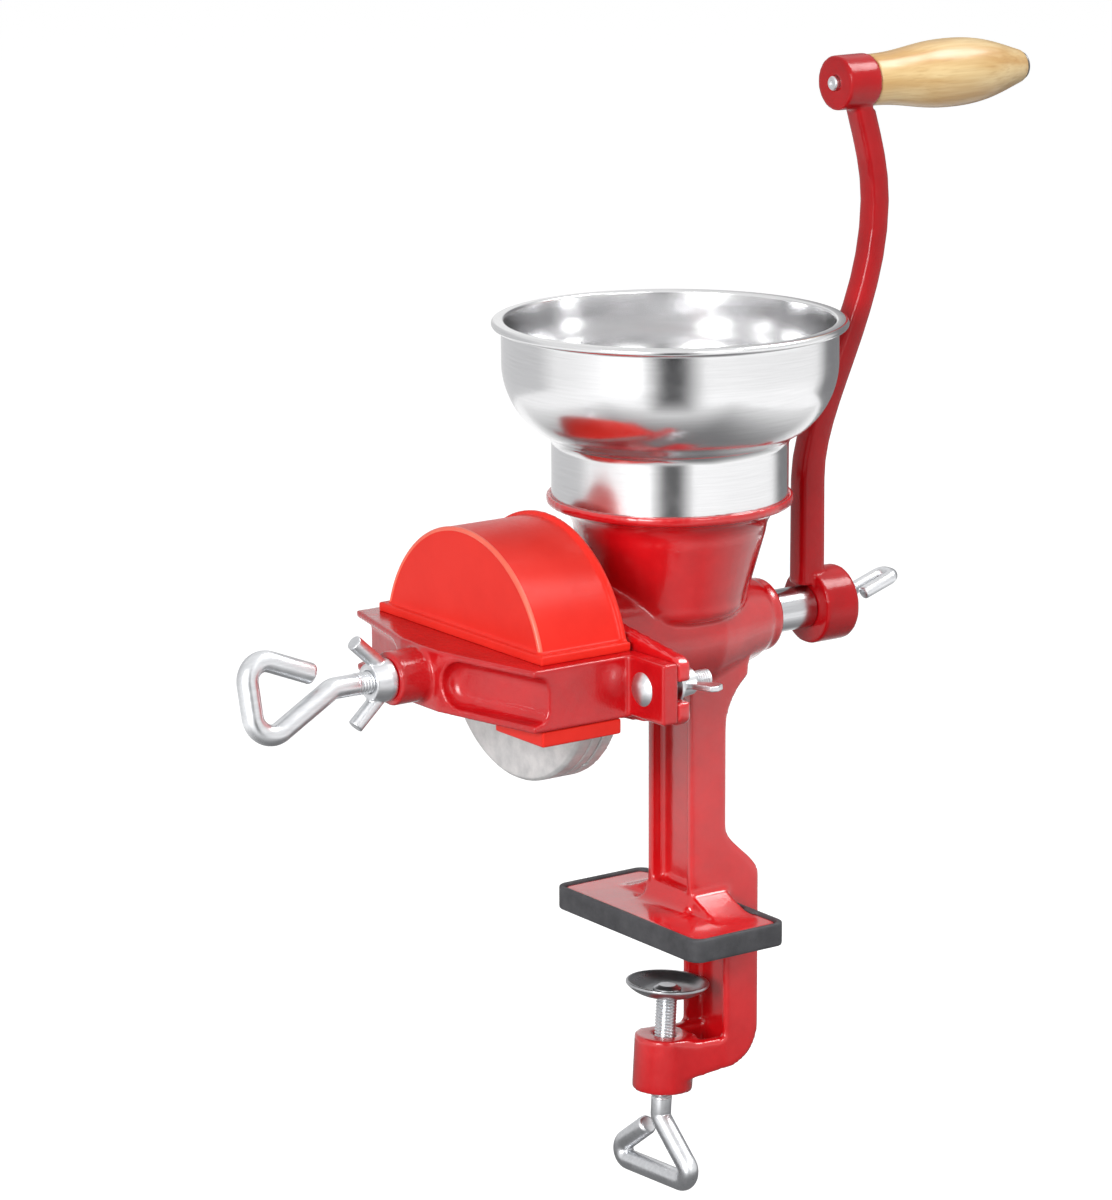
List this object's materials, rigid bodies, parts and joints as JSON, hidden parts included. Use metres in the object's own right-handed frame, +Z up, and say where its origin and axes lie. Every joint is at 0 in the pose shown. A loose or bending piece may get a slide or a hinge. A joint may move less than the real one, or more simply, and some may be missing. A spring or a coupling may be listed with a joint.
{
  "type": "hand grain mill",
  "caption": "Clamp-on hand mill for grain with a low steel hopper, a feed screw, grinding plates in an open yoke under a guard, and a long crank with a wooden grip.",
  "frame": {"origin": "middle of the rest pad's underside, in the plane of the table top and straight under the hopper's axis", "axes": "+Z up along the hopper's axis; +Y along the shaft toward the crank, so the grinding plates are at -Y; +X to the right when facing along +Y"},
  "size_m": [0.198, 0.4318, 0.52],
  "materials": {
    "red_enamel": "glossy red enamel on cast iron",
    "red_plastic": "satin bright red plastic",
    "stainless": "polished stainless steel",
    "zinc_steel": "bright zinc-plated steel",
    "tinned_iron": "pale tinned cast iron",
    "rubber": "matte dark grey rubber",
    "wood": "pale lacquered wood"
  },
  "bodies": {
    "frame": {"mill_body": "red_enamel", "rest_pad": "rubber", "fixed_burr": "tinned_iron", "fixed_burr_screws": "zinc_steel", "yoke": "red_enamel", "guard_cover": "red_plastic", "yoke_bolts": "zinc_steel"},
    "hopper": {"hopper": "stainless"},
    "thrust": {"thrust_ball": "zinc_steel"},
    "adjuster": {"adjusting_screw": "zinc_steel"},
    "lock_nut": {"lock_nut": "zinc_steel"},
    "crankset": {"auger": "zinc_steel", "turning_burr": "tinned_iron", "turning_burr_screws": "zinc_steel", "rotor_disc": "tinned_iron", "drive_pin": "zinc_steel", "crank_arm": "red_enamel", "handle_spindle": "zinc_steel"},
    "crank_screw": {"crank_screw": "zinc_steel"},
    "grip": {"handle_grip": "wood"},
    "cup": {"clamp_cup": "zinc_steel"},
    "clamp": {"clamp_screw": "zinc_steel"},
    "washer_left": {"washer_left": "zinc_steel"},
    "washer_right": {"washer_right": "zinc_steel"},
    "wing_nut_left": {"wing_nut_left": "zinc_steel"},
    "wing_nut_right": {"wing_nut_right": "zinc_steel"}
  },
  "joints": [
    {"name": "hopper_lift", "type": "slide", "parent": "frame", "child": "hopper", "axis": [0, 0, 1], "range_m": [0, 0.06]},
    {"name": "grind_adjust", "type": "slide", "parent": "frame", "child": "thrust", "axis": [0, -1, 0], "range_m": [0, 0.005]},
    {"name": "adjuster_turn", "type": "hinge", "parent": "thrust", "child": "adjuster", "pos_m": [0, 0, 0.14], "axis": [0, -1, 0], "range_deg": [0, 1210]},
    {"name": "crank_turn", "type": "hinge", "parent": "thrust", "child": "crankset", "pos_m": [0, 0, 0.14], "axis": [0, 1, 0], "continuous": true},
    {"name": "grip_spin", "type": "hinge", "parent": "crankset", "child": "grip", "pos_m": [0, 0.15, 0.381], "axis": [0, 1, 0], "continuous": true},
    {"name": "crank_screw_turn", "type": "hinge", "parent": "crankset", "child": "crank_screw", "pos_m": [0, 0, 0.14], "axis": [0, 1, 0], "range_deg": [0, 360]},
    {"name": "lock_nut_turn", "type": "hinge", "parent": "frame", "child": "lock_nut", "pos_m": [0, 0, 0.14], "axis": [0, -1, 0], "range_deg": [0, 180]},
    {"name": "clamp_travel", "type": "slide", "parent": "frame", "child": "cup", "axis": [0, 0.0593, 0.9982], "range_m": [-0.0175, 0.008]},
    {"name": "clamp_turn", "type": "hinge", "parent": "cup", "child": "clamp", "pos_m": [0, 0.0007, 0], "axis": [0, 0.0593, 0.9982], "range_deg": [-4210, 1930]},
    {"name": "washer_left_slide", "type": "slide", "parent": "frame", "child": "washer_left", "axis": [0, 1, 0], "range_m": [0, 0.007]},
    {"name": "washer_right_slide", "type": "slide", "parent": "frame", "child": "washer_right", "axis": [0, 1, 0], "range_m": [0, 0.007]},
    {"name": "wing_nut_left_turn", "type": "hinge", "parent": "washer_left", "child": "wing_nut_left", "pos_m": [-0.08, 0, 0.14], "axis": [0, 1, 0], "range_deg": [0, 2020]},
    {"name": "wing_nut_right_turn", "type": "hinge", "parent": "washer_right", "child": "wing_nut_right", "pos_m": [0.08, 0, 0.14], "axis": [0, 1, 0], "range_deg": [0, 2020]}
  ],
  "couplings": [
    {"joint": "adjuster_turn", "follows": "grind_adjust", "rad_per_m": 4188.8},
    {"joint": "clamp_turn", "follows": "clamp_travel", "rad_per_m": 4188.8},
    {"joint": "wing_nut_left_turn", "follows": "washer_left_slide", "rad_per_m": 5026.6},
    {"joint": "wing_nut_right_turn", "follows": "washer_right_slide", "rad_per_m": 5026.6}
  ]
}
